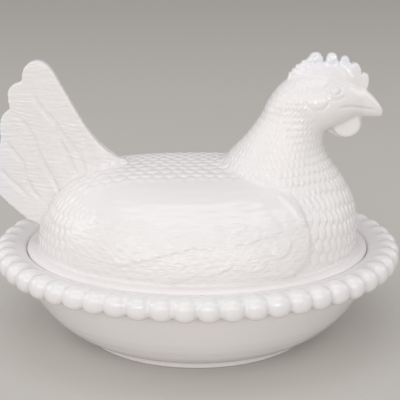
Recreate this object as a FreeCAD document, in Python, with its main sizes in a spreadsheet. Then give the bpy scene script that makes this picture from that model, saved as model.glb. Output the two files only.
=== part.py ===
import FreeCAD, Part
import math
import os
import Sketcher

# Covered dish of opaque white pressed glass: an oval bowl with a beaded rim, and a lid in
# the form of a sitting hen. Millimetres, +Z up. The origin is on the table under the middle
# of the dish, and the hen faces +X.

Vector = FreeCAD.Vector

# Driving dimensions: name, millimetres, what it measures.
DIMENSIONS = [
    ("dish_length", 178.0, "over the ring of beads, along X"),
    ("dish_width", 149.4, "over the ring of beads, along Y"),
    ("bead_diameter", 9.4, "one bead of the rim"),
    ("bead_height", 37.1, "bead centres above the table"),
    ("rim_thickness", 6.4, "rim plate from its underside to its top"),
    ("rim_rise", 4.4, "rim top above the bead centres"),
    ("rim_shoulder", 2.4, "flat top of the rim inside the bead centres"),
    ("rim_band", 9.1, "bead centres to the recess for the lid"),
    ("rim_dip", 1.6, "fall of the rim from its shoulder to the recess"),
    ("ledge_depth", 2.0, "ledge below the inner edge of the rim"),
    ("ledge_band", 5.0, "width of the ledge that carries the lid"),
    ("bowl_inset", 3.1, "top of the bowl inside the bead centres"),
    ("foot_length", 100.8, "over the foot, along X"),
    ("foot_width", 90.8, "over the foot, along Y"),
    ("foot_height", 1.8, "straight side of the foot"),
    ("foot_band", 5.0, "width of the ring that stands on the table"),
    ("foot_hollow", 1.2, "depth of the hollow under the dish"),
    ("dish_wall", 6.0, "glass between the inside and the outside of the bowl"),
    ("dish_floor", 4.5, "floor of the bowl above the table"),
    ("lid_gap", 0.6, "play between the lid's flange and the recess"),
    ("flange_thickness", 3.0, "flange of the lid"),
    ("flange_band", 5.0, "flange outside the hen"),
    ("lid_wall", 5.0, "glass of the hollow hen"),
    ("hen_height", 84.2, "flange top to the tips of the comb"),
    ("comb_thickness", 4.4, "comb across the head"),
    ("tail_root", 14.0, "tail across the fan, where it leaves the back"),
    ("tail_tip", 4.6, "tail across the fan, at the feather ends"),
    ("wing_relief", 1.8, "wing standing out of the body"),
]

doc = FreeCAD.newDocument("covered_dish")
sheet = doc.addObject("Spreadsheet::Sheet", "dims")
for row, (name, millimetres, meaning) in enumerate(DIMENSIONS, start=1):
    sheet.set(f"A{row}", name)
    sheet.set(f"B{row}", str(millimetres))
    sheet.set(f"C{row}", meaning)
    sheet.setAlias(f"B{row}", name)
doc.recompute()

# Sizes that follow from the driving ones, as expressions. Half sizes are (along X, along Y).
BEAD_PATH = ("(dims.dish_length - dims.bead_diameter) / 2", "(dims.dish_width - dims.bead_diameter) / 2")
FOOT = ("dims.foot_length / 2", "dims.foot_width / 2")
RIM_TOP = "(dims.bead_height + dims.rim_rise)"
RIM_UNDERSIDE = f"({RIM_TOP} - dims.rim_thickness)"
RECESS_TOP = f"({RIM_TOP} - dims.rim_dip)"
LEDGE = f"({RECESS_TOP} - dims.ledge_depth)"
FLANGE_TOP = f"({LEDGE} + dims.flange_thickness)"


def inside(halves, *insets):
    """Half sizes drawn in by the named insets."""
    return tuple("(" + " - ".join([f"({half})", *insets]) + ")" for half in halves)


BOWL_TOP = inside(BEAD_PATH, "dims.bowl_inset")
SHOULDER = inside(BEAD_PATH, "dims.rim_shoulder")
RECESS = inside(BEAD_PATH, "dims.rim_band")
OPENING = inside(RECESS, "dims.ledge_band")
FLANGE = inside(RECESS, "dims.lid_gap")
HEN = inside(FLANGE, "dims.flange_band")
HOLLOW = inside(HEN, "dims.lid_wall")

# Bowl outside, from the foot to the underside of the rim: (height, spread) as shares.
BOWL_SHARES = [(0.0, 0.0), (0.125, 0.265), (0.30, 0.50), (0.60, 0.745), (1.0, 1.0)]
# The inside follows the outside at these rows of BOWL_SHARES.
CAVITY_ROWS = BOWL_SHARES[2:4]

# Beads on the rim: distance between centres as a share of a bead's diameter.
BEAD_PITCH_SHARE = 0.996
# A bead's outline as shares of its radius: (out from its axis, up from its centre).
BEAD_PROFILE_SHARES = [(0.45, -0.93), (0.87, -0.52), (1.0, 0.0), (0.87, 0.52), (0.45, 0.93)]
BEAD_SIDES = 10

# The hen's shape is written in shares. Lengths along X are shares of the hen's half length,
# measured from the middle, and heights are shares of her height, measured from the flange.
# Body, from tail to breast: (place along X, height of the back).
BODY_SHARES = [
    (-0.98, 0.10), (-0.88, 0.245), (-0.70, 0.36), (-0.40, 0.418), (-0.05, 0.43), (0.32, 0.433),
    (0.64, 0.408), (0.86, 0.32), (0.98, 0.18),
]
BODY_CENTRE_SHARE = 0.12
# Hollow of the body above its mouth: (height, length, width), the last two as shares of the mouth.
HOLLOW_SHARES = [(0.11, 0.95, 0.95), (0.24, 0.84, 0.80), (0.355, 0.56, 0.38)]
# Neck, from the breast up: (height, nape, throat, half width), the last as a share of height.
NECK_SHARES = [
    (0.06, 0.20, 0.99, 0.27), (0.16, 0.11, 1.003, 0.295), (0.30, 0.09, 0.942, 0.295),
    (0.41, 0.145, 0.855, 0.26), (0.50, 0.225, 0.798, 0.215), (0.60, 0.333, 0.784, 0.175),
    (0.75, 0.452, 0.81, 0.14),
]
# The space inside the neck follows these rows, one wall further in.
NECK_HOLLOW_ROWS = [NECK_SHARES[1], NECK_SHARES[3], NECK_SHARES[5]]
# Head, from nape to beak: (place along X, underside, crown, half width), heights and widths
# as shares of the hen's height.
HEAD_SHARES = [
    (0.42, 0.645, 0.725, 0.075), (0.52, 0.595, 0.84, 0.132), (0.66, 0.580, 0.90, 0.156),
    (0.84, 0.612, 0.89, 0.142), (0.975, 0.665, 0.84, 0.096),
]
BEAK_SHARES = [
    (0.96, 0.666, 0.84, 0.080), (1.05, 0.669, 0.795, 0.048), (1.12, 0.670, 0.728, 0.022),
    (1.14, 0.676, 0.702, 0.009),
]
# Bosses of the face: (place along X, height, half length, half height, thickness across).
FACE_SHARES = {
    "eye": (0.857, 0.835, 0.034, 0.033, 0.27), "ear_lobe": (0.735, 0.768, 0.050, 0.058, 0.335),
    "wattle": (0.932, 0.634, 0.066, 0.068, 0.105),
}
# Comb: five large lobes and the small ones behind them.
COMB_NOTCH_SHARES = [
    (0.538, 0.842), (0.575, 0.892), (0.607, 0.924), (0.64, 0.946), (0.68, 0.965), (0.773, 0.952),
    (0.857, 0.952), (0.931, 0.938), (0.990, 0.883), (1.042, 0.826),
]
COMB_TIP_SHARES = [
    (0.552, 0.872), (0.586, 0.914), (0.621, 0.941), (0.657, 0.961), (0.730, 1.0), (0.821, 0.998),
    (0.904, 0.983), (0.972, 0.945), (1.034, 0.889),
]
# Straight side of a lobe as a share of its height, and its lean as a share of its width.
COMB_SIDE_SHARE = 0.6
COMB_DRAFT_SHARE = 0.08
COMB_ROOT_SHARES = [(1.00, 0.77), (0.62, 0.77)]
# Tail in the side view: its upper edge from the back to the first feather, the ends between two
# feathers with the tip of each, and its lower edge back into the body.
TAIL_UPPER_SHARES = [(-0.466, 0.445), (-0.612, 0.540), (-0.747, 0.712), (-0.868, 0.895)]
TAIL_NOTCH_SHARES = [(-0.868, 0.895), (-1.063, 0.856), (-1.138, 0.713), (-1.202, 0.553), (-1.237, 0.395), (-1.176, 0.205)]
TAIL_TIP_SHARES = [(-0.974, 0.959), (-1.128, 0.835), (-1.200, 0.655), (-1.243, 0.465), (-1.255, 0.300)]
TAIL_LOWER_SHARES = [(-1.017, 0.105), (-0.90, 0.06), (-0.466, 0.06)]
TAIL_TAPER_SHARES = (-0.45, -1.28)
# Wing outline: front top, front, front low, rear low, rear, rear top, top.
WING_SHARES = [
    (0.565, 0.331), (0.690, 0.18), (0.55, 0.045), (-0.53, 0.045), (-0.78, 0.175), (-0.70, 0.295), (-0.07, 0.385),
]


def plane(body, role):
    """One of the body's own origin planes."""
    return next(item for item in body.Origin.OriginFeatures if item.Role == role)


def value(expression):
    """Millimetres of an expression in the sheet's names."""
    return float(FreeCAD.Units.Quantity(sheet.evalExpression(expression)).Value)


def ellipse(body, name, role, offset, halves, middle=("0", "0")):
    """Sketch of an ellipse parallel to an origin plane, with its two half sizes bound."""
    sketch = body.newObject("Sketcher::SketchObject", name)
    sketch.AttachmentSupport = (plane(body, role), [""])
    sketch.MapMode = "FlatFace"
    sketch.setExpression(".AttachmentOffset.Base.z", offset)
    across, along = value(halves[0]), value(halves[1])
    x, y = value(middle[0]), value(middle[1])
    lying = across >= along
    centre = Vector(x, y, 0)
    first, second = Vector(x + across, y, 0), Vector(x, y + along, 0)
    curve = Part.Ellipse(first, second, centre) if lying else Part.Ellipse(second, Vector(x - across, y, 0), centre)
    sketch.addGeometry(curve, False)
    sketch.exposeInternalGeometry(0)
    sketch.addConstraint(Sketcher.Constraint("Horizontal" if lying else "Vertical", 1))
    for kind, at in (("DistanceX", 0), ("DistanceY", 1)):
        if middle[at] == "0":
            sketch.addConstraint(Sketcher.Constraint("PointOnObject", 0, 3, -2 if at == 0 else -1))
            continue
        place = sketch.addConstraint(Sketcher.Constraint(kind, -1, 1, 0, 3, value(middle[at])))
        sketch.setExpression(f"Constraints[{place}]", middle[at])
    major, minor = (halves[0], halves[1]) if lying else (halves[1], halves[0])
    for axis, half in ((1, major), (2, minor)):
        size = sketch.addConstraint(Sketcher.Constraint("Distance", axis, 2 * value(half)))
        sketch.setExpression(f"Constraints[{size}]", f"2 * {half}")
    return sketch


def loft(body, kind, name, sketches):
    """Additive or subtractive loft, straight from each sketch to the next."""
    feature = body.newObject(f"PartDesign::{kind}Loft", name)
    feature.Profile = sketches[0]
    feature.Sections = sketches[1:]
    feature.Ruled = True
    feature.Refine = False
    return feature


def pad(body, name, sketch, length):
    feature = body.newObject("PartDesign::Pad", name)
    feature.Profile = sketch
    feature.setExpression("Length", length)
    feature.Refine = False
    return feature


def pocket(body, name, sketch, length, upwards):
    """Blind pocket from the sketch, towards +Z or -Z."""
    feature = body.newObject("PartDesign::Pocket", name)
    feature.Profile = sketch
    feature.setExpression("Length", length)
    feature.Refine = False
    feature.Reversed = upwards
    return feature


def checked(feature, removes):
    """Recompute and make sure that the feature took material away or added some."""
    doc.recompute()
    before = feature.BaseFeature.Shape.Volume
    after = feature.Shape.Volume
    assert before != after and (after < before) == removes, feature.Name
    return feature


def between(low, high, share):
    return f"({low} + ({high} - {low}) * {share})"


# Nest dish: foot, bowl, rim plate, recess and ledge, cavity, beads.
def bowl_halves(spread):
    return tuple(between(f"({low})", high, spread) for low, high in zip(FOOT, BOWL_TOP))


def bowl_height(share):
    return between("dims.foot_height", RIM_UNDERSIDE, share)


def make_bowl():
    body = doc.addObject("PartDesign::Body", "bowl")
    foot = ellipse(body, "foot_outline", "XY_Plane", "0", FOOT)
    pad(body, "foot", foot, "dims.foot_height")
    rows = [
        ellipse(body, f"bowl_section_{number}", "XY_Plane", bowl_height(height), bowl_halves(spread))
        for number, (height, spread) in enumerate(BOWL_SHARES)
    ]
    loft(body, "Additive", "bowl_outside", rows)
    rim = ellipse(body, "rim_outline", "XY_Plane", RIM_UNDERSIDE, BEAD_PATH)
    pad(body, "rim_plate", rim, "dims.rim_thickness")

    slope_low = ellipse(body, "slope_low", "XY_Plane", RECESS_TOP, RECESS)
    slope_high = ellipse(body, "slope_high", "XY_Plane", RIM_TOP, SHOULDER)
    checked(loft(body, "Subtractive", "rim_slope", [slope_low, slope_high]), True)
    recess = ellipse(body, "recess_outline", "XY_Plane", LEDGE, RECESS)
    checked(pocket(body, "recess", recess, "dims.ledge_depth", True), True)

    floor = ellipse(body, "floor_outline", "XY_Plane", "dims.dish_floor", inside(FOOT, "dims.dish_wall"))
    walls = [
        ellipse(body, f"cavity_section_{number}", "XY_Plane", bowl_height(height),
                inside(bowl_halves(spread), "dims.dish_wall"))
        for number, (height, spread) in enumerate(CAVITY_ROWS)
    ]
    mouth = ellipse(body, "cavity_mouth", "XY_Plane", LEDGE, OPENING)
    checked(loft(body, "Subtractive", "cavity", [floor, *walls, mouth]), True)

    hollow = ellipse(body, "foot_hollow_outline", "XY_Plane", "0", inside(FOOT, "dims.foot_band"))
    checked(pocket(body, "foot_hollow", hollow, "dims.foot_hollow", True), True)
    return body


def bead_places():
    """Centres at equal steps along the bead path, with a gap between two beads at the front."""
    half_length, half_width = (value(half) for half in BEAD_PATH)
    steps = 3600
    angles = [2 * math.pi * step / steps for step in range(steps + 1)]
    points = [Vector(half_length * math.sin(a), -half_width * math.cos(a), 0) for a in angles]
    reach = [0.0]
    for near, far in zip(points, points[1:]):
        reach.append(reach[-1] + near.distanceToPoint(far))
    pitch = value("dims.bead_diameter") * BEAD_PITCH_SHARE
    count = 2 * round(reach[-1] / pitch / 2)
    places = []
    step = 0
    for bead in range(count):
        target = reach[-1] * (bead + 0.5) / count
        while reach[step + 1] < target:
            step += 1
        places.append(points[step])
    return places


def bead_solid():
    """Ten-sided bead about its own centre, one corner towards +X."""
    radius = value("dims.bead_diameter / 2")
    turns = [2 * math.pi * side / BEAD_SIDES for side in range(BEAD_SIDES + 1)]
    rows = [
        [Vector(radius * out * math.cos(turn), radius * out * math.sin(turn), radius * up) for turn in turns]
        for out, up in BEAD_PROFILE_SHARES
    ]
    faces = [Part.Face(Part.makePolygon(rows[0])), Part.Face(Part.makePolygon(rows[-1]))]
    for low, high in zip(rows, rows[1:]):
        for side in range(BEAD_SIDES):
            corners = [low[side], low[side + 1], high[side + 1], high[side], low[side]]
            faces.append(Part.Face(Part.makePolygon(corners)))
    return Part.makeSolid(Part.makeShell(faces))


def make_beads():
    """Ring of beads, a corner of each turned outwards."""
    half_length, half_width = (value(half) for half in BEAD_PATH)
    bead = bead_solid()
    ring = []
    for place in bead_places():
        outwards = math.degrees(math.atan2(place.y / half_width ** 2, place.x / half_length ** 2))
        copy = bead.copy()
        copy.rotate(Vector(0, 0, 0), Vector(0, 0, 1), outwards)
        copy.translate(place + Vector(0, 0, value("dims.bead_height")))
        ring.append(copy)
    return ring


# Hen lid: flange, body, neck, head and beak, and the hollow inside.
HEN_LENGTH, HEN_WIDTH = HEN


def along(share):
    """Place along X as a share of the hen's half length."""
    return f"({HEN_LENGTH} * {share})"


def rise(share):
    """Height above the flange as a share of the hen's height."""
    return f"(dims.hen_height * {share})"


def body_section(body, name, place, back, halves=HEN, relief="0"):
    """Upright ellipse whose lower part is cut away later. The YZ plane has Y across and Z up."""
    width = f"({halves[1]} * {round(math.sqrt(1 - place ** 2), 4)})"
    centre = between(FLANGE_TOP, f"({FLANGE_TOP} + {rise(back)})", BODY_CENTRE_SHARE)
    height = f"({rise(back)} * {1 - BODY_CENTRE_SHARE} + {relief})"
    return ellipse(body, name, "YZ_Plane", f"({halves[0]} * {place})", (width, height), ("0", centre))


def hollow_section(body, name, height, length_share, width_share):
    """Level oval of the space that the plunger leaves, narrower towards the top so that it draws out."""
    halves = (f"({HOLLOW[0]} * {length_share})", f"({HOLLOW[1]} * {width_share})")
    return ellipse(body, name, "XY_Plane", f"({FLANGE_TOP} + {rise(height)})", halves)


def neck_section(body, name, height, rear, front, half_width, inset="0"):
    """Level ellipse of the neck between its nape and its throat."""
    depth = f"(({along(front)} - {along(rear)}) / 2 - {inset})"
    middle = f"(({along(front)} + {along(rear)}) / 2)"
    level = f"({FLANGE_TOP} + {rise(height)})"
    return ellipse(body, name, "XY_Plane", level, (depth, f"({rise(half_width)} - {inset})"), (middle, "0"))


def head_section(body, name, place, underside, top, half_width):
    """Upright ellipse of the head or beak."""
    half_height = f"(({rise(top)} - {rise(underside)}) / 2)"
    centre = f"({FLANGE_TOP} + ({rise(top)} + {rise(underside)}) / 2)"
    return ellipse(body, name, "YZ_Plane", along(place), (rise(half_width), half_height), ("0", centre))


def lofted(body, kind, name, section, rows, *extra):
    """Loft through one section for each row of shares."""
    sections = [section(body, f"{name}_section_{number}", *row, *extra) for number, row in enumerate(rows)]
    return loft(body, kind, name, sections)


def through_pad(body, name, place, height, halves, thickness):
    """Oval boss that runs right through the head and stands out on both sides."""
    level = f"({FLANGE_TOP} + {rise(height)})"
    sketch = ellipse(body, f"{name}_outline", "XZ_Plane", "0", halves, (along(place), level))
    feature = pad(body, name, sketch, thickness)
    feature.Midplane = True
    return feature


def make_hen():
    body = doc.addObject("PartDesign::Body", "hen")
    lofted(body, "Additive", "body", body_section, BODY_SHARES)
    lofted(body, "Additive", "neck", neck_section, NECK_SHARES)
    lofted(body, "Additive", "head", head_section, HEAD_SHARES)
    lofted(body, "Additive", "beak", head_section, BEAK_SHARES)
    below = ellipse(body, "underside_outline", "XY_Plane", LEDGE, BEAD_PATH)
    checked(pocket(body, "underside", below, "dims.hen_height", False), True)
    flange = ellipse(body, "flange_outline", "XY_Plane", LEDGE, FLANGE)
    checked(pad(body, "flange", flange, "dims.flange_thickness"), False)

    for name, (place, height, long_share, high_share, out_share) in FACE_SHARES.items():
        through_pad(body, name, place, height, (rise(long_share), rise(high_share)), rise(out_share))
    return body


def make_hollow():
    """The space inside the hen, open below, that the plunger leaves in the glass."""
    body = doc.addObject("PartDesign::Body", "hollow")
    mouth = ellipse(body, "hollow_mouth", "XY_Plane", LEDGE, HOLLOW)
    rows = [hollow_section(body, f"hollow_section_{number}", *row) for number, row in enumerate(HOLLOW_SHARES)]
    loft(body, "Additive", "body_hollow", [mouth, *rows])
    lofted(body, "Additive", "neck_hollow", neck_section, NECK_HOLLOW_ROWS, "dims.lid_wall")
    return body


def side_points(shares):
    """Points of the side view from shares of the half length and of the height."""
    length, height, level = value(HEN_LENGTH), value("dims.hen_height"), value(FLANGE_TOP)
    return [Vector(length * x, 0, level + height * z) for x, z in shares]


def plate(name, edges, thickness):
    """Flat plate across the middle plane, from its outline in the side view."""
    face = Part.Face(Part.Wire(edges))
    solid = face.extrude(Vector(0, thickness, 0))
    solid.translate(Vector(0, -thickness / 2, 0))
    feature = doc.addObject("Part::Feature", name)
    feature.Shape = solid
    return feature


def scallops(ends, crests):
    """Round lobes from each end point to the next, each over its crest."""
    return [Part.Arc(near, crest, far).toShape() for near, crest, far in zip(ends, crests, ends[1:])]


def line(points):
    return [Part.LineSegment(near, far).toShape() for near, far in zip(points, points[1:])]


def make_comb():
    """Plate with upright lobes: straight sides, each pair joined by a round end over its tip."""
    ends, crests = side_points(COMB_NOTCH_SHARES), side_points(COMB_TIP_SHARES)
    edges = line([ends[-1], *side_points(COMB_ROOT_SHARES), ends[0]])
    for near, crest, far in zip(ends, crests, ends[1:]):
        upwards = (crest - (near + far) / 2) * COMB_SIDE_SHARE
        inwards = (far - near) * COMB_DRAFT_SHARE
        low, high = near + upwards + inwards, far + upwards - inwards
        edges += [*line([near, low]), Part.Arc(low, crest, high).toShape(), *line([high, far])]
    return plate("comb", edges, value("dims.comb_thickness"))


def make_tail():
    """Fan of five feathers with round ends, thinner towards the ends."""
    upper, lower = side_points(TAIL_UPPER_SHARES), side_points(TAIL_LOWER_SHARES)
    ends, crests = side_points(TAIL_NOTCH_SHARES), side_points(TAIL_TIP_SHARES)
    curve = Part.BSplineCurve()
    curve.interpolate(upper)
    edges = [curve.toShape(), *scallops(ends, crests), *line([ends[-1], *lower, upper[0]])]
    fan = plate("tail_fan", edges, value("dims.tail_root"))
    low, high = value("dims.tail_root / 2"), value("dims.tail_tip / 2")
    near, far = side_points([(share, 0) for share in TAIL_TAPER_SHARES])
    plan = [(near.x, -low), (near.x, low), (far.x, high), (far.x, -high), (near.x, -low)]
    wedge = doc.addObject("Part::Feature", "tail_wedge")
    face = Part.Face(Part.makePolygon([Vector(x, y, 0) for x, y in plan]))
    wedge.Shape = face.extrude(Vector(0, 0, value(f"{FLANGE_TOP} + {rise(1)}")))
    tail = doc.addObject("Part::Common", "tail")
    tail.Base = fan
    tail.Tool = wedge
    return tail


def make_wings():
    """Body swollen by the relief, kept inside the wing's outline on both sides."""
    swollen = doc.addObject("PartDesign::Body", "swollen_body")
    bigger = tuple(f"({half} + dims.wing_relief)" for half in HEN)
    lofted(swollen, "Additive", "swollen", body_section, BODY_SHARES[1:-1], bigger, "dims.wing_relief")
    front_top, front, front_low, rear_low, rear, rear_top, top = side_points(WING_SHARES)
    edges = [
        Part.Arc(front_top, front, front_low).toShape(), *line([front_low, rear_low]),
        Part.Arc(rear_low, rear, rear_top).toShape(), Part.Arc(rear_top, top, front_top).toShape(),
    ]
    outline = plate("wing_outline", edges, 2 * value(HEN_WIDTH))
    wings = doc.addObject("Part::Common", "wings")
    wings.Base = swollen
    wings.Tool = outline
    return wings


def node(name, items, hollow=None):
    """One piece of glass from the forms that make it up, less the space inside."""
    doc.recompute()
    shapes = [item.Shape if hasattr(item, "Shape") else item for item in items]
    glass = shapes[0].multiFuse(shapes[1:])
    feature = doc.addObject("Part::Feature", name)
    feature.Shape = glass.cut(hollow.Shape) if hollow else glass
    feature.Label = name
    return feature


NODES = [
    node("nest_dish", [make_bowl(), *make_beads()]),
    node("hen_lid", [make_hen(), make_tail(), make_comb(), make_wings()], make_hollow()),
]

doc.recompute()
for item in doc.Objects:
    problems = [state for state in item.State if state in ("Invalid", "Error")]
    assert not problems, f"{item.Name}: {item.State}"
os.makedirs("parts", exist_ok=True)
for node in NODES:
    shape = node.Shape
    assert not shape.isNull() and shape.isValid(), node.Label
    print(node.Label, "solids", len(shape.Solids), "volume", round(shape.Volume), shape.BoundBox)
    shape.exportStep(f"parts/{node.Label}.step")
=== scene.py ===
# %% [markdown]
# # A hen on a nest, in opaque white pressed glass
# The real object is a covered dish: an oval bowl with a ring of beads, and a lid in the form of
# a sitting hen. Both are pressed in a mould from white opal glass, so every edge is a little
# soft and the whole surface has the same wet gloss. We start by loading the frame: the solids
# of the two pieces, each on the body that carries it.

# %% Load the frame
import math

import bmesh
import bpy
import numpy as np
from mathutils import Matrix, Vector


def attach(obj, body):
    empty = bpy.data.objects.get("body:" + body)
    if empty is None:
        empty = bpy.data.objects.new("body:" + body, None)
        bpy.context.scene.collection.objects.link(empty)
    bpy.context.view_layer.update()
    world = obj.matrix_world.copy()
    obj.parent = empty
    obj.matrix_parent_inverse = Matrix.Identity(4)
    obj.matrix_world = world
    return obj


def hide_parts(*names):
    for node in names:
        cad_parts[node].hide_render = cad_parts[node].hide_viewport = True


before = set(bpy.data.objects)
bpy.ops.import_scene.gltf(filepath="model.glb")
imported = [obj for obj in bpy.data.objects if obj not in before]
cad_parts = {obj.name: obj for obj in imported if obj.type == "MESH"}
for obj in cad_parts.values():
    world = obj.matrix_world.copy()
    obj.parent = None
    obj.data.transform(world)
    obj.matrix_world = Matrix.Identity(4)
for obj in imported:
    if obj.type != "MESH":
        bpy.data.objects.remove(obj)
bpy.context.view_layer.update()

# %% [markdown]
# ## The real sizes
# All shapes below are written in millimetres, as a mould maker would, and turned into metres at
# the very end. The hen's outline is drawn in shares: places along X as shares of her half
# length, heights as shares of her height above the flange that she sits on. Her feathers are
# drawn straight in millimetres on her side, as points (x, z).

# %% Sizes in millimetres
MM = 0.001
DISH_HALF = (84.0, 69.75)
BEAD_RADIUS = 5.0
BEAD_HALF_WIDTH = 5.3
BEAD_COUNT = 52
BEAD_HEIGHT = 37.1
RIM_ABOVE_BEADS = 4.4
RECESS_DEPTH = 3.6
FLANGE_THICKNESS = 3.0
RIM_TOP = BEAD_HEIGHT + RIM_ABOVE_BEADS
LEDGE = RIM_TOP - RECESS_DEPTH
FLANGE_TOP = LEDGE + FLANGE_THICKNESS
HEN_HALF = (69.6, 55.3)
HEN_HEIGHT = 84.2
ROUND_SIDES = 128
COARSE_VOXEL, DISH_VOXEL, FINE_VOXEL = 1.2, 0.62, 0.55


def along(share):
    return HEN_HALF[0] * share


def level(share):
    return FLANGE_TOP + HEN_HEIGHT * share


def side_point(share):
    """Point of the hen's middle plane from its two shares."""
    return Vector((along(share[0]), 0.0, level(share[1])))


print("flange top", FLANGE_TOP, "top of the comb", level(1.0))

# %% [markdown]
# ## Tubes of ovals
# Bowl, body, neck, head and beak are all stacks of ovals. One helper makes an oval ring of edges
# with create_circle, and another bridges ring to ring and closes both ends. The rings between
# the drawn ones lie on a smooth curve, so the form has no corners where a row was written.


# %% Helpers for tubes
def ring(bm, centre, upwards, half_up, half_across, sides):
    """Oval ring: half_up along a direction of the XZ plane, half_across along Y."""
    upwards = Vector(upwards).normalized()
    across = Vector((0.0, 1.0, 0.0))
    turn = Matrix((upwards * half_up, across * half_across, upwards.cross(across))).transposed().to_4x4()
    made = bmesh.ops.create_circle(
        bm, cap_ends=False, segments=sides, radius=1.0, matrix=Matrix.Translation(centre) @ turn
    )
    return made["verts"]


def ring_edges(verts):
    return list({edge for vert in verts for edge in vert.link_edges if edge.other_vert(vert) in verts})


def tube(bm, rows, sides=64):
    """Closed tube through the rows (centre, upwards, half_up, half_across)."""
    rings = [ring(bm, *row, sides) for row in rows]
    loops = [ring_edges(verts) for verts in rings]
    for near, far in zip(loops, loops[1:]):
        bmesh.ops.bridge_loops(bm, edges=near + far)
    for end in (loops[0], loops[-1]):
        bmesh.ops.contextual_create(bm, geom=end)


def smooth(rows, count):
    """Rows on a smooth curve through the given ones. The first column has to grow."""
    table = np.array(rows, dtype=float)
    at = table[:, 0]
    slope = np.gradient(table, at, axis=0)
    wanted = np.linspace(at[0], at[-1], count)
    low = np.clip(np.searchsorted(at, wanted) - 1, 0, len(at) - 2)
    step = (at[low + 1] - at[low])[:, None]
    share = ((wanted - at[low]) / step[:, 0])[:, None]
    near, far = table[low], table[low + 1]
    return (
        near * (1 + 2 * share) * (1 - share) ** 2 + slope[low] * step * share * (1 - share) ** 2
        + far * share ** 2 * (3 - 2 * share) - slope[low + 1] * step * share ** 2 * (1 - share)
    )


def finished(bm, name):
    """Object in metres at the origin, its faces pointing outwards."""
    bmesh.ops.recalc_face_normals(bm, faces=bm.faces)
    bmesh.ops.scale(bm, vec=(MM, MM, MM), verts=bm.verts)
    mesh = bpy.data.meshes.new(name)
    bm.to_mesh(mesh)
    bm.free()
    piece = bpy.data.objects.new(name, mesh)
    bpy.context.scene.collection.objects.link(piece)
    return piece


def applied(piece, kind, **settings):
    """Make one modifier of the piece real."""
    modifier = piece.modifiers.new(kind, kind)
    for name, value in settings.items():
        setattr(modifier, name, value)
    shape = piece.evaluated_get(bpy.context.evaluated_depsgraph_get())
    mesh = bpy.data.meshes.new_from_object(shape)
    piece.modifiers.clear()
    piece.data = mesh


UP = (0.0, 0.0, 1.0)
FORWARD = (1.0, 0.0, 0.0)
print("tube helpers ready")

# %% [markdown]
# ## The nest dish
# The bowl is one closed stack of level ovals that runs up the outside, over the rim, and down
# the inside. The beads are spheres set along the rim at equal steps, each drawn out a little
# towards the inside, where it runs into the flat of the rim. A voxel remesh then makes bowl and
# beads one skin, and a little smoothing rounds the creases as the glass does in its mould.

# %% Bowl and beads
BOWL_ROWS = [
    (1.2, 43.9, 39.0), (1.0, 45.0, 40.1), (0.3, 45.6, 40.7), (0.0, 46.3, 41.4), (0.0, 49.9, 44.9),
    (0.4, 50.5, 45.5), (2.3, 49.9, 44.9), (2.6, 50.2, 45.1), (4.0, 54.8, 48.5), (6.0, 58.5, 51.1),
    (8.0, 61.4, 53.1), (12.0, 65.8, 56.1), (16.0, 69.2, 58.5), (20.0, 72.0, 60.5), (25.0, 75.4, 62.9),
    (30.0, 78.3, 64.9), (34.0, 80.6, 66.5), (35.3, 81.4, 67.1), (35.7, 83.4, 69.1), (36.8, 85.0, 70.7),
    (38.6, 86.0, 71.8), (40.2, 85.8, 71.6), (41.3, 84.5, 70.3), (41.5, 82.4, 68.2), (41.1, 79.9, 65.7),
    (40.2, 76.0, 61.7), (39.8, 75.3, 61.0), (38.8, 75.1, 60.75), (38.1, 74.9, 60.6), (37.9, 70.6, 56.2),
    (37.5, 69.6, 55.2), (36.4, 68.9, 54.6), (29.0, 66.0, 54.5), (21.0, 63.4, 52.5), (14.0, 59.0, 49.5),
    (9.0, 53.5, 45.0), (6.0, 47.5, 40.0), (4.7, 41.0, 34.0), (4.5, 36.0, 30.0),
]
RIM_STEPS = 3601


def bead_places():
    """Equal steps along the oval of the rim, with a bead's centre and the turn that faces out."""
    turns = np.linspace(0.0, 2.0 * math.pi, RIM_STEPS)
    path = np.stack([DISH_HALF[0] * np.sin(turns), -DISH_HALF[1] * np.cos(turns)], axis=1)
    reach = np.concatenate([[0.0], np.cumsum(np.hypot(*np.diff(path, axis=0).T))])
    wanted = np.interp((np.arange(BEAD_COUNT) + 0.5) / BEAD_COUNT * reach[-1], reach, turns)
    for turn in wanted:
        x, y = DISH_HALF[0] * math.sin(turn), -DISH_HALF[1] * math.cos(turn)
        yield x, y, math.atan2(y / DISH_HALF[1] ** 2, x / DISH_HALF[0] ** 2)


INWARD_STRETCH = 1.35
SQUARENESS = 0.89
bm = bmesh.new()
tube(bm, [((0.0, 0.0, z), FORWARD, x, y) for z, x, y in BOWL_ROWS], sides=ROUND_SIDES)
for x, y, facing in bead_places():
    bead = bmesh.ops.create_uvsphere(bm, u_segments=24, v_segments=14, radius=1.0)["verts"]
    for vert in bead:
        vert.co = Vector([math.copysign(abs(part) ** SQUARENESS, part) for part in vert.co])
        if vert.co.x < 0.0:
            vert.co.x *= INWARD_STRETCH
    bmesh.ops.scale(bm, vec=(BEAD_RADIUS, BEAD_HALF_WIDTH, BEAD_RADIUS), verts=bead)
    turn = Matrix.Translation((x, y, BEAD_HEIGHT)) @ Matrix.Rotation(facing, 4, "Z")
    bmesh.ops.transform(bm, matrix=turn, verts=bead)
dish = finished(bm, "nest_dish_glass")
applied(dish, "REMESH", mode="VOXEL", voxel_size=DISH_VOXEL * MM)
applied(dish, "SMOOTH", factor=0.5, iterations=3)
print("dish", len(dish.data.polygons), "faces")

# %% [markdown]
# ## The hen's body, neck and head
# These are the large, soft forms. Each is a tube of ovals of its own, and the coarse remesh with
# plenty of smoothing melts them together, so that the neck flows into the breast and back.

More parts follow.
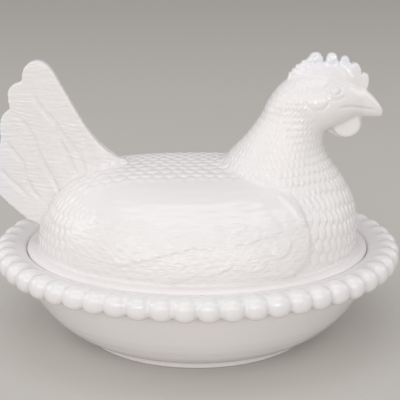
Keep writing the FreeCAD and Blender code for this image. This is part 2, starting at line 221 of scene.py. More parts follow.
# %% Large forms of the hen
BODY_ROWS = [
    (-0.998, 0.045), (-0.975, 0.125), (-0.943, 0.180), (-0.910, 0.228), (-0.85, 0.298), (-0.80, 0.333),
    (-0.736, 0.363), (-0.65, 0.392), (-0.55, 0.412), (-0.42, 0.423), (-0.12, 0.430),
    (0.20, 0.430), (0.50, 0.420), (0.70, 0.392), (0.84, 0.34), (0.94, 0.26), (0.985, 0.18), (0.997, 0.12),
]
NECK_ROWS = [
    (0.03, 0.20, 0.985, 0.28), (0.137, 0.12, 1.005, 0.30), (0.20, 0.09, 0.990, 0.31),
    (0.264, 0.09, 0.963, 0.31), (0.318, 0.10, 0.928, 0.30), (0.362, 0.12, 0.895, 0.285),
    (0.41, 0.145, 0.855, 0.265),
    (0.47, 0.195, 0.812, 0.235), (0.54, 0.275, 0.785, 0.20), (0.61, 0.345, 0.785, 0.175),
    (0.68, 0.400, 0.80, 0.158), (0.75, 0.458, 0.81, 0.14),
]
HEAD_ROWS = [
    (0.42, 0.645, 0.725, 0.075), (0.50, 0.605, 0.822, 0.125), (0.59, 0.585, 0.880, 0.148),
    (0.69, 0.585, 0.902, 0.157), (0.79, 0.600, 0.898, 0.152), (0.89, 0.635, 0.875, 0.128),
    (0.975, 0.665, 0.84, 0.094), (1.035, 0.672, 0.80, 0.060),
]
BEAK_ROWS = [
    (0.96, 0.668, 0.835, 0.084), (1.03, 0.667, 0.812, 0.064), (1.085, 0.667, 0.772, 0.045),
    (1.120, 0.667, 0.736, 0.030), (1.141, 0.673, 0.708, 0.018),
]
BODY_SINK = 0.12
BODY_BOTTOM = LEDGE + 0.6


def upright(row):
    place, underside, top, half_width = row
    centre = (along(place), 0.0, level((underside + top) / 2))
    return centre, UP, HEN_HEIGHT * (top - underside) / 2, HEN_HEIGHT * half_width


def body_oval(row):
    turn, back = row
    half_width = HEN_HALF[1] * math.cos(turn)
    centre = (along(math.sin(turn)), 0.0, level(BODY_SINK * back))
    return centre, UP, HEN_HEIGHT * (1 - BODY_SINK) * back, half_width


def body_curve(count):
    """Rows of the body by the turn round its oval, which spaces them closer at the ends."""
    return smooth([(math.asin(place), back) for place, back in BODY_ROWS], count)


def neck_oval(row):
    height, nape, throat, half_width = row
    centre = (along((nape + throat) / 2), 0.0, level(height))
    return centre, FORWARD, along((throat - nape) / 2), HEN_HEIGHT * half_width


bm = bmesh.new()
tube(bm, [body_oval(row) for row in body_curve(60)], sides=96)
tube(bm, [neck_oval(row) for row in smooth(NECK_ROWS, 30)])
tube(bm, [upright(row) for row in smooth(HEAD_ROWS, 24)])
for vert in bm.verts:
    vert.co.z = max(vert.co.z, BODY_BOTTOM)
hen = finished(bm, "hen_lid_glass")
applied(hen, "REMESH", mode="VOXEL", voxel_size=COARSE_VOXEL * MM)
applied(hen, "SMOOTH", factor=0.5, iterations=14)
print("hen without comb and tail", len(hen.data.polygons), "faces")

# %% [markdown]
# ## Comb, wattle and tail
# These are thin plates across the middle plane, where the two halves of the mould meet. Each
# starts as a flat outline that is extruded along Y, and then its thickness is drawn in towards
# the tips. The wattle is a plump disc on its plate.

# %% Plates of the comb, wattle and tail
COMB_OUTLINE = [
    (0.538, 0.842), (0.556, 0.868), (0.560, 0.893), (0.573, 0.892), (0.583, 0.917), (0.598, 0.914),
    (0.608, 0.938), (0.626, 0.934), (0.640, 0.957), (0.660, 0.956), (0.676, 0.966), (0.688, 0.985),
    (0.705, 0.995), (0.728, 0.998), (0.747, 0.992), (0.760, 0.978), (0.768, 0.95), (0.773, 0.920),
    (0.780, 0.95), (0.789, 0.980), (0.805, 0.992), (0.822, 0.995), (0.838, 0.992), (0.850, 0.978),
    (0.855, 0.95),
    (0.859, 0.920), (0.866, 0.945), (0.873, 0.968), (0.889, 0.981), (0.907, 0.983), (0.922, 0.970),
    (0.929, 0.94), (0.930, 0.905), (0.944, 0.935), (0.963, 0.949), (0.982, 0.940), (0.995, 0.918),
    (0.993, 0.885), (0.980, 0.850), (1.000, 0.878), (1.020, 0.898), (1.040, 0.890), (1.051, 0.862),
    (1.044, 0.826), (1.03, 0.79), (0.85, 0.75), (0.62, 0.76),
]
WATTLE_OUTLINE = [
    (1.004, 0.70), (1.009, 0.66), (1.008, 0.623), (0.988, 0.590), (0.947, 0.568), (0.904, 0.560),
    (0.854, 0.569), (0.81, 0.592), (0.766, 0.610), (0.75, 0.68), (0.85, 0.72),
]
TAIL_OUTLINE = [
    (-0.30, 0.36), (-0.40, 0.415), (-0.466, 0.445), (-0.527, 0.475), (-0.569, 0.504), (-0.612, 0.539),
    (-0.66, 0.589), (-0.707, 0.650), (-0.747, 0.711), (-0.788, 0.774), (-0.834, 0.845), (-0.868, 0.897),
    (-0.897, 0.93), (-0.932, 0.953), (-0.974, 0.961), (-1.018, 0.948), (-1.049, 0.922), (-1.061, 0.889),
    (-1.065, 0.854), (-1.09, 0.846), (-1.121, 0.836), (-1.147, 0.813), (-1.154, 0.788), (-1.151, 0.75),
    (-1.134, 0.713), (-1.166, 0.7), (-1.192, 0.679), (-1.205, 0.653), (-1.212, 0.624), (-1.212, 0.587),
    (-1.202, 0.55), (-1.222, 0.526), (-1.237, 0.497), (-1.243, 0.465), (-1.243, 0.427), (-1.237, 0.395),
    (-1.251, 0.363), (-1.257, 0.33), (-1.255, 0.292), (-1.236, 0.26), (-1.176, 0.205), (-1.116, 0.161),
    (-1.067, 0.125), (-1.017, 0.105), (-0.90, 0.08), (-0.60, 0.06), (-0.40, 0.20),
]


def plate(outline, half_thickness):
    """Bmesh of a plate across the middle plane. half_thickness gives it from a point (x, z)."""
    bm = bmesh.new()
    face = bm.faces.new([bm.verts.new(side_point(share)) for share in outline])
    bmesh.ops.triangulate(bm, faces=[face])
    bmesh.ops.subdivide_edges(bm, edges=bm.edges, cuts=3, use_grid_fill=True)
    top = bmesh.ops.extrude_face_region(bm, geom=list(bm.faces))
    moved = {item for item in top["geom"] if isinstance(item, bmesh.types.BMVert)}
    for vert in bm.verts:
        half = half_thickness(vert.co.x, vert.co.z)
        vert.co.y = half if vert in moved else -half
    return bm


def comb_half(x, z):
    """Half thickness of the comb: it grows out of the head with a wide foot and ends thin."""
    up = min(max((z - level(0.83)) / (HEN_HEIGHT * 0.14), 0.0), 1.0)
    front = min(max((along(1.00) - x) / along(0.20), 0.0), 1.0)
    middle = front * min(max((x - along(0.57)) / along(0.12), 0.0), 1.0)
    return 1.7 + 8.5 * middle * (1.0 - up) ** 1.8


def tail_half(x, z):
    """Half thickness of the tail: thin at the feather ends, and with a soft foot on the back."""
    far = min(max((along(-0.45) - x) / along(0.80), 0.0), 1.0)
    above = z - level(np.interp(x / HEN_HALF[0], *zip(*BODY_ROWS)))
    tip = min(max((along(-0.36) - x) / along(0.20), 0.15), 1.0)
    return tip * (0.9 * (1.0 - far) ** 2 + 2.2 + 1.6 * math.exp(-max(above, 0.0) / 2.4))


plates = [
    finished(plate(COMB_OUTLINE, comb_half), "comb_plate"),
    finished(plate(WATTLE_OUTLINE, lambda x, z: 1.7), "wattle_plate"),
    finished(plate(TAIL_OUTLINE, tail_half), "tail_plate"),
]
for thin in plates:
    applied(thin, "TRIANGULATE")
print("plates", [thin.name for thin in plates])

# %% Beak, wattle and flange
FLANGE_ROWS = [
    (37.9, 74.0, 59.8), (38.4, 74.7, 60.4), (39.4, 74.85, 60.5), (40.1, 74.4, 60.1), (40.6, 73.5, 59.2),
    (40.9, 72.0, 57.7),
]
WATTLE_CENTRE, WATTLE_RADII, WATTLE_HALF_WIDTH = (63.8, 0.0, 94.6), (7.0, 7.5, 6.5), 4.7
bm = bmesh.new()
tube(bm, [upright(row) for row in smooth(BEAK_ROWS, 16)])
wattle = Matrix.Translation(WATTLE_CENTRE) @ Matrix.Diagonal((*WATTLE_RADII, 1.0))
disc_made = bmesh.ops.create_uvsphere(bm, u_segments=40, v_segments=24, radius=1.0, matrix=wattle)
for vert in disc_made["verts"]:
    vert.co.y = max(-WATTLE_HALF_WIDTH, min(vert.co.y, WATTLE_HALF_WIDTH))
tube(bm, [((0.0, 0.0, z), FORWARD, x, y) for z, x, y in FLANGE_ROWS], sides=ROUND_SIDES)
details = finished(bm, "beak_and_flange")
joined = bmesh.new()
for source in (hen, *plates, details):
    joined.from_mesh(source.data)
for source in (*plates, details):
    bpy.data.objects.remove(source)
joined.to_mesh(hen.data)
joined.free()
applied(hen, "REMESH", mode="VOXEL", voxel_size=FINE_VOXEL * MM)
applied(hen, "SMOOTH", factor=0.5, iterations=4)
print("hen", len(hen.data.polygons), "faces")

# %% [markdown]
# ## Feathers
# The mould maker cut the feathers as shallow relief: scales of about half a millimetre, and a wing
# slab that stands out by a millimetre or two. In Blender this
# could be sculpted by hand or painted as bump. Here every vertex is moved along its normal by a
# height that is worked out from its place, because real relief also shows in the outline, and
# numpy does nearly 200,000 vertices at once. Three kinds of mark are enough: scales, drawn
# edges where one feather lies over the next, and fine lines. It fades out just above the flange,
# which has to stay level to seat on its ledge.


# %% Helpers for relief
def places(piece):
    """Places in mm and outward normals of all vertices."""
    count = len(piece.data.vertices)
    spots, facing = np.empty(3 * count), np.empty(3 * count)
    piece.data.vertices.foreach_get("co", spots)
    piece.data.vertex_normals.foreach_get("vector", facing)
    return spots.reshape(count, 3) / MM, facing.reshape(count, 3)


def ramp(values, start, end):
    """0 before start, 1 after end, and a soft rise between."""
    share = np.clip((values - start) / (end - start), 0.0, 1.0)
    return share * share * (3.0 - 2.0 * share)


def to_line(spots, line):
    """Distance to a drawn line, the side (+1 on its left), and how far along it, from 0 to 1."""
    line = np.array(line, dtype=float)
    lengths = np.hypot(*np.diff(line, axis=0).T)
    before = np.concatenate([[0.0], np.cumsum(lengths)])
    gap, side, far = np.full(len(spots), 1e6), np.ones(len(spots)), np.zeros(len(spots))
    for at, length in enumerate(lengths):
        run = (line[at + 1] - line[at]) / length
        off = spots - line[at]
        share = np.clip(off @ run, 0.0, length)
        away = np.hypot(*(off - share[:, None] * run).T)
        nearer = away < gap
        gap = np.where(nearer, away, gap)
        side = np.where(nearer, np.sign(run[0] * off[:, 1] - run[1] * off[:, 0]), side)
        far = np.where(nearer, (before[at] + share) / before[-1], far)
    return gap, side, far


def inside(spots, outline, soft):
    """1 inside a closed outline, 0 outside it, and a soft edge."""
    closed = list(outline) + [outline[0]]
    gap, _, _ = to_line(spots, closed)
    within = np.zeros(len(spots), dtype=bool)
    for (x0, z0), (x1, z1) in zip(closed, closed[1:]):
        crosses = (spots[:, 1] < z0) != (spots[:, 1] < z1)
        rise = z1 - z0 if z1 != z0 else 1.0
        within ^= crosses & (spots[:, 0] < x0 + (spots[:, 1] - z0) * (x1 - x0) / rise)
    return ramp(np.where(within, gap, -gap), -soft, soft)


def edge_over(spots, line, step, fade):
    """A feather's edge: raised on the left of the line, and sloping back to nothing behind it."""
    gap, side, far = to_line(spots, line)
    signed = gap * side
    taper = np.clip(np.minimum(far, 1.0 - far) * 8.0, 0.0, 1.0)
    return step * taper * ramp(signed, -0.5, 0.4) * np.exp(-np.maximum(signed, 0.0) / fade)


def groove(spots, line, depth, width):
    gap, _, far = to_line(spots, line)
    taper = np.clip(np.minimum(far, 1.0 - far) * 8.0, 0.0, 1.0)
    return -depth * taper * np.exp(-((gap / width) ** 2))


def scales(across, up):
    """Rows of scales, every other row half a scale over. 0 at the joints, about 1 on the crown."""
    best, second = np.full(len(across), 1e6), np.full(len(across), 1e6)
    tilt = np.zeros(len(across))
    row = np.floor(up)
    for step in (-1, 0, 1, 2):
        shift = 0.5 * np.mod(row + step, 2)
        side = across - shift - np.round(across - shift)
        above = up - row - step
        for neighbour in (-1.0, 0.0, 1.0):
            away = np.hypot(side + neighbour, SCALE_OVERLAP * above)
            closer = away < best
            second = np.where(closer, best, np.minimum(second, away))
            tilt = np.where(closer, above, tilt)
            best = np.where(closer, away, best)
    return ramp(second - best, 0.0, 0.45) * (0.85 - 0.35 * tilt)


SCALE_OVERLAP = 0.8
spots, facing = places(hen)
flat = spots[:, [0, 2]]
print("vertices to place", len(spots))

# %% [markdown]
# ## Scales of the breast, neck, rump and back
# Round the breast and neck the scales stand in columns, like slates on a tower: the angle round a
# leaning axis gives the column, the height gives the row, so the columns close up towards the
# head just as they do on the glass. The rump has a tower of its own, and the back is laid flat,
# with its feathers pointing to the tail.

# %% Scale fields
x, y, z = spots.T
width = np.abs(y)
AXIS_LEVELS = (38.0, 53.0, 63.0, 75.0, 86.0, 92.0, 100.0, 112.0)
AXIS_PLACES = (26.0, 26.2, 30.0, 34.8, 36.9, 39.2, 43.0, 49.0)
ROW_LEVELS = (36.0, 58.0, 72.0, 86.0, 128.0)
ROW_PITCHES = (5.2, 5.2, 4.0, 2.8, 2.5)
fine_levels = np.linspace(ROW_LEVELS[0], ROW_LEVELS[-1], 400)
row_steps = np.diff(fine_levels) / np.interp(fine_levels[1:], ROW_LEVELS, ROW_PITCHES)
rows_below = np.concatenate([[0.0], np.cumsum(row_steps)])
angle = np.arctan2(width, x - np.interp(z, AXIS_LEVELS, AXIS_PLACES))
COLUMN_LEVELS, COLUMN_COUNTS = (66.0, 92.0), (60, 44)
wander = 0.09 * np.sin(x / 3.9 + z / 5.3) * np.sin(y / 4.7 + z / 8.1)
dip = z + 0.2 * (x - 49.0) * (1.0 - ramp(z, 60.0, 75.0)) * ramp(x, 30.0, 49.0)
columns = angle / (2 * math.pi) * np.interp(z, COLUMN_LEVELS, COLUMN_COUNTS)
breast_and_neck = scales(columns + wander, np.interp(dip, fine_levels, rows_below) + wander)
front_scales = (0.62 - 0.34 * ramp(z, 70.0, 84.0)) * breast_and_neck

RUMP_AXIS, RUMP_COLUMNS, RUMP_PITCH = -14.0, 84, 4.5
behind = np.arctan2(width, RUMP_AXIS - x)
rump_scales = 0.40 * scales(behind / (2 * math.pi) * RUMP_COLUMNS + wander, z / RUMP_PITCH + wander)
BACK_LENGTH, BACK_PITCH = 5.4, 3.9
back_scales = 0.55 * scales(x / BACK_LENGTH + 1.5 * wander, -width / BACK_PITCH + 1.5 * wander)
print("tallest scale in mm", round(float(front_scales.max()), 2))

# %% Where each kind of scale lies
FRONT_EDGE = [
    (36.7, 73.2), (39.2, 71.3), (41.6, 68.8), (43.2, 67.0), (44.2, 64.8), (45.8, 61.8), (46.8, 57.6),
    (47.2, 52.9), (46.5, 49.5), (44.6, 46.7), (42.1, 44.7), (40.4, 42.9), (39.0, 36.0),
]
REAR_EDGE = [
    (-46.0, 36.0), (-48.1, 40.9), (-50.4, 43.4), (-52.5, 47.0), (-54.3, 50.7), (-53.6, 55.6), (-48.4, 60.3),
    (-42.0, 63.6), (-38.0, 66.9), (-35.5, 70.3),
]
UPPER_EDGE = [(-30.0, 80.0), (28.0, 80.0)]
FACE_EDGE = [
    (51.0, 91.0), (46.5, 101.0), (44.2, 106.0), (45.6, 110.5), (49.0, 114.5), (51.0, 120.0), (90.0, 130.0),
    (90.0, 86.0), (60.0, 88.0),
]
TAIL_FOOT = [
    (-30.0, 79.0), (-41.6, 76.1), (-46.0, 73.8), (-51.2, 70.7), (-55.6, 68.4), (-59.2, 65.7), (-61.5, 62.1),
    (-63.8, 58.9), (-65.6, 55.2), (-68.0, 50.5), (-69.5, 44.0), (-100.0, 44.0), (-100.0, 130.0), (-30.0, 130.0),
]
wing = inside(flat, FRONT_EDGE + REAR_EDGE + UPPER_EDGE, 2.4) * ramp(width, 17.0, 26.0)
face = inside(flat, FACE_EDGE, 2.0)
tail = inside(flat, TAIL_FOOT, 0.7) * (1.0 - ramp(width, 5.0, 7.5))
bare = np.maximum.reduce([wing, face, tail, 1.0 - ramp(z, 41.6, 42.6)])
ahead = ramp(x + z - 77.0, 8.0, 20.0)
astern = ramp(-x, 34.0, 40.0) * (1.0 - ramp(z, 64.0, 69.0))
on_back = (1.0 - ahead) * (1.0 - astern) * (1.0 - ramp(width, 18.0, 24.0))
height = (1.0 - bare) * (ahead * front_scales + astern * rump_scales + on_back * back_scales)
print("share of the skin under scales", round(float((height > 0.1).mean()), 2))

# %% [markdown]
# ## Wing, tail and face
# The wing is a low slab with long feathers. Where one lies over the next the relief is a step
# that faces down, and fades out upwards. The tail is ploughed by a few deep grooves, and its
# feathers are crowned between them. Fine slanting lines on both are the barbs.

# %% Wing
LONG_FEATHERS = [
    (0.6, [(-39.5, 45.0), (-31.1, 47.7), (-24.1, 50.2), (-18.8, 51.6), (-14.8, 52.9), (-10.8, 53.9),
            (-6.8, 55.1), (-2.8, 56.2), (1.2, 55.8), (5.2, 56.3), (8.4, 56.8), (11.2, 57.8), (14.0, 58.8)]),
    (0.6, [(12.0, 57.6), (14.5, 57.0), (17.3, 56.8), (20.5, 56.9), (23.8, 57.5), (26.0, 58.6)]),
    (0.6, [(23.0, 57.9), (26.0, 58.1), (29.5, 58.5), (32.5, 59.2), (34.5, 60.8)]),
    (0.55, [(29.5, 51.2), (31.5, 50.8), (34.8, 50.9), (36.9, 52.3), (37.8, 55.4), (37.2, 58.4)]),
    (0.75, [(-19.0, 40.2), (-14.8, 40.9), (-10.8, 41.8), (-6.8, 43.3), (-2.8, 44.9), (0.6, 46.6)]),
    (0.7, [(-0.5, 45.9), (2.0, 45.6), (4.4, 45.3), (7.6, 46.1), (10.8, 47.4), (13.2, 48.5), (15.6, 50.4)]),
    (0.65, [(13.6, 48.6), (15.6, 47.5), (18.4, 46.8), (21.3, 46.4), (23.7, 46.6), (26.2, 47.1), (28.4, 48.6)]),
    (0.4, [(-37.0, 59.4), (-34.1, 60.2), (-28.0, 62.0), (-24.3, 63.1), (-19.0, 64.0), (-13.0, 64.9)]),
    (0.35, [(-20.0, 60.6), (-13.7, 62.0), (-8.9, 62.9), (-2.8, 63.3), (4.0, 63.6)]),
    (0.4, [(-16.0, 57.7), (-10.8, 59.2), (-6.8, 59.8), (-2.8, 59.6), (1.2, 60.0), (5.3, 61.2), (12.0, 62.2)]),
    (0.3, [(-34.0, 56.6), (-27.0, 58.3), (-23.0, 59.3), (-17.5, 60.4)]),
    (0.3, [(-18.0, 67.8), (-8.6, 68.4), (-2.0, 69.0), (2.0, 69.3)]),
    (0.3, [(0.0, 69.0), (9.5, 69.2), (17.7, 69.4), (29.0, 68.8)]),
    (0.35, [(12.5, 58.9), (14.1, 59.5), (16.5, 60.9), (20.5, 61.6)]),
    (0.35, [(35.0, 59.2), (37.9, 59.5), (42.2, 59.4), (45.0, 60.0)]),
]
height += wing * 1.2 * ramp(x, 5.0, 40.0) * (1.0 - ramp(z, 64.0, 73.0))
rim_gap, _, _ = to_line(flat, FRONT_EDGE)
ridge = np.exp(-(((rim_gap - 3.6) / 0.9) ** 2))
height += wing * 0.45 * ridge * ramp(z, 58.0, 62.0) * (1.0 - ramp(z, 70.0, 74.0))
height += ramp(width, 20.0, 26.0) * ramp(z, 46.0, 52.0) * groove(flat, FRONT_EDGE[1:-1], 0.6, 1.3)
for step, line in LONG_FEATHERS:
    height += wing * edge_over(flat, line, 0.75 * step, 6.0)
long_lines = np.sin(2 * math.pi * (z - 0.04 * x) / 2.1) * np.sin(2 * math.pi * x / 37.0 + z / 3.0)
height += wing * 0.06 * ramp(z, 57.0, 62.0) * long_lines
lumps = np.sin(1.35 * x + 1.1 * np.sin(z / 2.1)) * np.sin(1.6 * z + 0.9 * np.sin(x / 2.7))
height += wing * 0.10 * (1.0 - ramp(z, 58.0, 66.0)) * lumps
short_lines = np.sin(2 * math.pi * (z - 1.1 * x) / 2.6) * (0.6 + 0.4 * np.sin(x / 2.3 + z / 1.7))
height += wing * 0.05 * (1.0 - ramp(z, 56.0, 61.0)) * short_lines
print("edges on the wing", len(LONG_FEATHERS))

# %% Tail
TAIL_GROOVES = [
    [(-1.001, 0.791), (-0.944, 0.708), (-0.879, 0.65), (-0.839, 0.592), (-0.78, 0.529), (-0.732, 0.47)],
    [(-0.87, 0.60), (-0.83, 0.525), (-0.79, 0.455), (-0.75, 0.36)],
    [(-1.112, 0.682), (-1.053, 0.629), (-1.007, 0.561), (-0.974, 0.47), (-0.934, 0.4), (-0.894, 0.33),
     (-0.84, 0.24)],
    [(-1.181, 0.545), (-1.135, 0.486), (-1.082, 0.433), (-1.068, 0.352), (-1.027, 0.281), (-0.97, 0.22)],
    [(-1.227, 0.4), (-1.174, 0.346), (-1.114, 0.298), (-1.06, 0.25)],
]
for line in TAIL_GROOVES:
    drawn = [(along(across), level(up)) for across, up in line]
    height += tail * groove(flat, drawn, 0.8, 0.9)
    height += tail * edge_over(flat, drawn[::-1], 0.45, 3.0)
barbs = np.sin(2 * math.pi * (z + 0.25 * x) / 1.7) * ramp(np.sin(x / 3.1) + np.sin(z / 4.3 + x / 9.0), 0.1, 0.9)
height += tail * 0.11 * barbs * (1.0 - ramp(z, 108.0, 116.0))
print("grooves on the tail", len(TAIL_GROOVES))


# %% Face
def disc(spots, centre, radii):
    """Distance from a centre in radii: 1 on the rim of the disc."""
    return np.hypot((spots[:, 0] - centre[0]) / radii[0], (spots[:, 1] - centre[1]) / radii[1])


EYE, EYE_RADII = (58.4, 110.7), (1.9, 1.4)
LOBE, LOBE_RADII = (50.2, 106.9), (4.7, 4.0)
MOUTH = [(59.5, 103.6), (63.8, 103.9), (66.9, 103.2), (71.1, 102.0), (76.5, 100.5)]
LIDS = [
    (0.40, [(52.3, 111.9), (54.6, 112.4), (56.0, 113.4), (57.4, 113.9), (59.0, 113.8), (61.0, 113.0),
            (63.0, 111.4)]),
    (0.35, [(55.2, 110.9), (56.2, 112.0), (57.4, 112.6), (59.2, 112.5), (60.6, 111.7), (61.6, 110.8)]),
    (-0.30, [(54.9, 109.9), (56.2, 109.0), (58.2, 108.4), (60.4, 108.9), (61.8, 109.8)]),
    (0.25, [(55.6, 107.9), (58.4, 107.1), (61.0, 107.4), (62.6, 108.2)]),
]
cheek = face * ramp(width, 2.0, 4.0)
eye = disc(flat, EYE, EYE_RADII)
eye_ring = np.exp(-(((eye - 1.1) / 0.2) ** 2))
height += cheek * (0.8 * np.clip(1.0 - eye ** 2, 0.0, 1.0) - 0.2 * eye_ring)
for depth, line in LIDS:
    height += cheek * groove(flat, line, depth, 0.45)
lobe = disc(flat, LOBE, LOBE_RADII)
lower_half = 1.0 - ramp(z, 105.0, 110.0)
lobe_ring = np.exp(-(((lobe - 1.0) / 0.12) ** 2))
height += cheek * lower_half * (0.14 * ramp(1.0 - lobe, -0.05, 0.3) - 0.32 * lobe_ring)
height += cheek * groove(flat, MOUTH, 0.65, 0.5)
pebbles = np.sin(2.5 * x + 1.2 * np.sin(z / 1.4)) * np.sin(2.3 * z + 1.3 * np.sin(x / 1.5))
height += ramp(z, 88.0, 98.0) * ramp(x, 32.0, 38.0) * (1.0 - ramp(x, 58.0, 66.0)) * 0.07 * pebbles
RELIEF_START = 1.0
height *= ramp(z, FLANGE_TOP, FLANGE_TOP + RELIEF_START)
spots += facing * height[:, None]
hen.data.vertices.foreach_set("co", (spots * MM).ravel())
hen.data.update()
print("relief in mm from", round(float(height.min()), 2), "to", round(float(height.max()), 2))

# %% [markdown]
# ## The hollow inside
# The plunger leaves a plain, drafted space inside the hen. It is cut last, so the outside keeps
# its relief. The mesh is thinned first, which leaves small faces only where the relief needs them.
# Known fault: the fast solver cuts the space but leaves the flat bottom face across its mouth, so
# the lid isn't open from below as the real one is.

# %% Cut the hollow
HOLLOW_HALF = (64.6, 50.3)
WALL = 5.5
ROOF_EXTRA = 0.5
LEAST_HEIGHT = 1.0
NECK_END_SHARE = 0.62
CUT_BELOW = 6.0
HEN_FACES, DISH_FACES = 160000, 180000
bm = bmesh.new()
hollow_rows = []
for turn, back in body_curve(32):
    height_inside = HEN_HEIGHT * back + FLANGE_TOP - LEDGE - WALL - ROOF_EXTRA
    if height_inside > LEAST_HEIGHT:
        centre = (HOLLOW_HALF[0] * math.sin(turn), 0.0, LEDGE)
        hollow_rows.append((centre, UP, height_inside, HOLLOW_HALF[1] * math.cos(turn)))
tube(bm, hollow_rows)
neck_inside = [row for row in smooth(NECK_ROWS, 30) if row[0] < NECK_END_SHARE]
tube(bm, [
    (centre, upwards, half_up - WALL, half_across - WALL)
    for centre, upwards, half_up, half_across in map(neck_oval, neck_inside)
])
for vert in bm.verts:
    if vert.co.z < LEDGE:
        vert.co.z = LEDGE - CUT_BELOW
hollow = finished(bm, "hollow")
applied(hollow, "REMESH", mode="VOXEL", voxel_size=COARSE_VOXEL * MM)
applied(hollow, "SMOOTH", factor=0.5, iterations=6)
applied(hen, "TRIANGULATE")
applied(dish, "TRIANGULATE")
applied(hen, "DECIMATE", ratio=min(1.0, HEN_FACES / len(hen.data.polygons)))
applied(dish, "DECIMATE", ratio=min(1.0, DISH_FACES / len(dish.data.polygons)))
applied(hen, "BOOLEAN", operation="DIFFERENCE", object=hollow, solver="FAST")
bpy.data.objects.remove(hollow)
for piece in (hen, dish):
    piece.data.shade_smooth()
print("hen", len(hen.data.polygons), "dish", len(dish.data.polygons), "faces")

# %% [markdown]
# ## Opal glass
# Milk glass is soda glass clouded white with fluorides. It is pressed in an iron mould and then
# polished in the flame, so it is as glossy as glazed china, index 1.5, with a slight ripple from
# the flow. Thin edges let light through and look a little bluer.


# %% Materials
def linear(hex_colour):
    """Linear colour from an sRGB hex value."""
    parts = [int(hex_colour[at:at + 2], 16) / 255 for at in (1, 3, 5)]
    return [part / 12.92 if part <= 0.04045 else ((part + 0.055) / 1.055) ** 2.4 for part in parts] + [1.0]


def node(tree, kind, settings=None, inputs=None):
    """A node with its settings, and for each input a value or the socket that feeds it."""
    made = tree.nodes.new(kind)
    for name, value in (settings or {}).items():
        setattr(made, name, value)
    for name, value in (inputs or {}).items():
        if isinstance(value, bpy.types.NodeSocket):
            tree.links.new(value, made.inputs[name])
        else:
            made.inputs[name].default_value = value
    return made


CLOUD, RIPPLE = 35, 9
BARB_LENGTH, BARB_PITCH = 6, 1.3
opal = bpy.data.materials.new("opal_glass_pressed_gloss")
opal.use_nodes = True
tree = opal.node_tree
shader = tree.nodes["Principled BSDF"]
place = node(tree, "ShaderNodeTexCoord").outputs["Object"]
cloud = node(tree, "ShaderNodeTexNoise", inputs={"Vector": place, "Scale": 1 / (CLOUD * MM), "Detail": 3.0})
# Painted translucency: the bluish tint of light passing through thin glass is painted into the base colour, by
# this mask.
thin = node(tree, "ShaderNodeAttribute", {"attribute_name": "painted_translucency"}).outputs["Fac"]
body_tint = node(tree, "ShaderNodeMix", {"data_type": "RGBA"}, {
    "Factor": cloud.outputs["Fac"], "A": linear("#E9E5E4"), "B": linear("#EFEBEA"),
})
translucency_tint = node(tree, "ShaderNodeMix", {"data_type": "RGBA"}, {
    "Factor": thin, "A": body_tint.outputs["Result"], "B": linear("#E9E9EE"),
})
tree.links.new(translucency_tint.outputs["Result"], shader.inputs["Base Color"])
ripple = node(tree, "ShaderNodeTexNoise", inputs={"Vector": place, "Scale": 1 / (RIPPLE * MM), "Detail": 1.0})
waves = node(tree, "ShaderNodeBump", inputs={
    "Height": ripple.outputs["Fac"], "Strength": 0.25, "Distance": 0.3 * MM,
})
drawn_out = node(tree, "ShaderNodeMapping", inputs={
    "Vector": place, "Rotation": (0.0, math.radians(-14), 0.0), "Scale": (
        1 / (BARB_LENGTH * MM), 1 / (BARB_LENGTH * MM), 1 / (BARB_PITCH * MM),
    ),
})
streaks = node(tree, "ShaderNodeTexNoise", inputs={
    "Vector": drawn_out.outputs["Vector"], "Scale": 1.0, "Detail": 2.0,
})
barbed = node(tree, "ShaderNodeAttribute", {"attribute_name": "barbed"}).outputs["Fac"]
barb_height = node(tree, "ShaderNodeMath", {"operation": "MULTIPLY"}, {0: streaks.outputs["Fac"], 1: barbed})
bump = node(tree, "ShaderNodeBump", inputs={
    "Height": barb_height.outputs["Value"], "Strength": 1.0, "Distance": 0.7 * MM,
    "Normal": waves.outputs["Normal"],
})
tree.links.new(bump.outputs["Normal"], shader.inputs["Normal"])
shader.inputs["Roughness"].default_value = 0.14
shader.inputs["IOR"].default_value = 1.5
print("materials", [material.name for material in bpy.data.materials])

# %% Painted translucency at thin edges, barbs and the finish
for piece in (dish, hen):
    spots, _ = places(piece)
    x, y, z = spots.T
    marks = {"painted_translucency": np.zeros(len(z)), "barbed": np.zeros(len(z))}
    if piece is hen:
        flat = spots[:, [0, 2]]
        # Painted translucency on the hen: the comb tips and the tail tips get the bluish tint of light through
        # thin glass.
        on_comb = 0.8 * ramp(z, 114.0, 122.0) * ramp(x, 35.0, 40.0)
        marks["painted_translucency"] = np.maximum(on_comb, 0.8 * ramp(-x, 76.0, 88.0))
        on_wing = inside(flat, FRONT_EDGE + REAR_EDGE + UPPER_EDGE, 3.0) * ramp(np.abs(y), 20.0, 26.0)
        on_wing = on_wing * (1.0 - ramp(z, 62.0, 68.0))
        on_tail = inside(flat, TAIL_FOOT, 2.0) * (1.0 - ramp(np.abs(y), 6.0, 8.0))
        marks["barbed"] = np.maximum(on_wing, 0.7 * on_tail) * (1.0 - ramp(-z, -44.0, -42.0))
    else:
        # Painted translucency on the dish: a faint bluish tint on the outer upper half of the beads and on the
        # outside of the rim.
        outwards = np.hypot(x / DISH_HALF[0], y / DISH_HALF[1])
        marks["painted_translucency"] = 0.2 * ramp(outwards, 0.98, 1.03) * ramp(z, 33.0, 38.0)
    for name, values in marks.items():
        layer = piece.data.attributes.new(name, "FLOAT", "POINT")
        layer.data.foreach_set("value", values)
    piece.data.materials.clear()
    piece.data.materials.append(opal)
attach(dish, "dish")
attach(hen, "lid")
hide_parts("nest_dish")
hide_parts("hen_lid")

# %% [markdown]
# ## Floor, light and camera
# A plain pale sheet and soft light from a wide window in front. The camera stands where the
# photographer stood, a little above the dish, with a long lens.

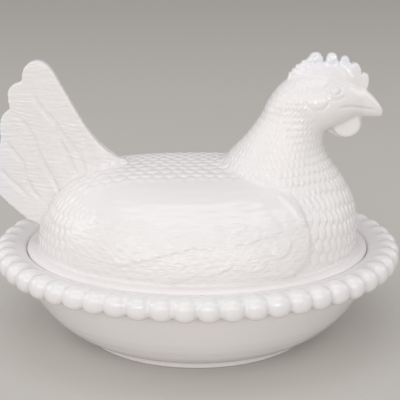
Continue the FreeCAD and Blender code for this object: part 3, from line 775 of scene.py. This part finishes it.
# %% Floor and light
bpy.ops.mesh.primitive_plane_add(size=6.0, location=(0.0, 0.0, 0.0))
floor = bpy.context.object
floor.name = "floor"
sheet = bpy.data.materials.new("matt_studio_paper")
sheet.use_nodes = True
sheet.node_tree.nodes["Principled BSDF"].inputs["Base Color"].default_value = linear("#CBC7C1")
sheet.node_tree.nodes["Principled BSDF"].inputs["Roughness"].default_value = 0.8
floor.data.materials.append(sheet)

world = bpy.data.worlds.new("studio_air")
bpy.context.scene.world = world
world.use_nodes = True
world.node_tree.nodes["Background"].inputs["Color"].default_value = linear("#E0E0E1")
world.node_tree.nodes["Background"].inputs["Strength"].default_value = 0.53


def softbox(name, place, size, power):
    light = bpy.data.lights.new(name, "AREA")
    light.shape = "RECTANGLE"
    light.size, light.size_y = size
    light.energy = power
    lamp = bpy.data.objects.new(name, light)
    bpy.context.scene.collection.objects.link(lamp)
    lamp.location = place
    lamp.rotation_euler = (Vector((0.0, 0.0, 0.06)) - Vector(place)).to_track_quat("-Z", "Y").to_euler()


softbox("window_front", (0.05, -1.05, 0.40), (1.9, 0.05), 2.7)
softbox("window_wide", (-0.25, -1.15, 0.74), (2.2, 1.05), 8.1)
softbox("ceiling", (0.0, -0.05, 1.10), (0.9, 0.6), 2.0)
softbox("window_left", (-0.9, 0.1, 0.55), (0.5, 0.6), 1.7)
softbox("window_right", (0.9, 0.2, 0.55), (0.4, 0.6), 1.3)

# %% Camera
LENS = 112.97
CAMERA_PLACE = (0.0, -0.5212, 0.2333)
CAMERA_TILT, CAMERA_YAW = 18.45, 0.148
lens = bpy.data.cameras.new("photo_camera")
lens.sensor_width = 36.0
lens.lens = LENS
camera = bpy.data.objects.new("photo_camera", lens)
bpy.context.scene.collection.objects.link(camera)
camera.location = CAMERA_PLACE
tilt, yaw = math.radians(CAMERA_TILT), math.radians(CAMERA_YAW)
view = Vector((math.sin(yaw) * math.cos(tilt), math.cos(yaw) * math.cos(tilt), -math.sin(tilt)))
camera.rotation_euler = view.to_track_quat("-Z", "Y").to_euler()
bpy.context.scene.camera = camera
bpy.context.scene.view_settings.view_transform = "Standard"
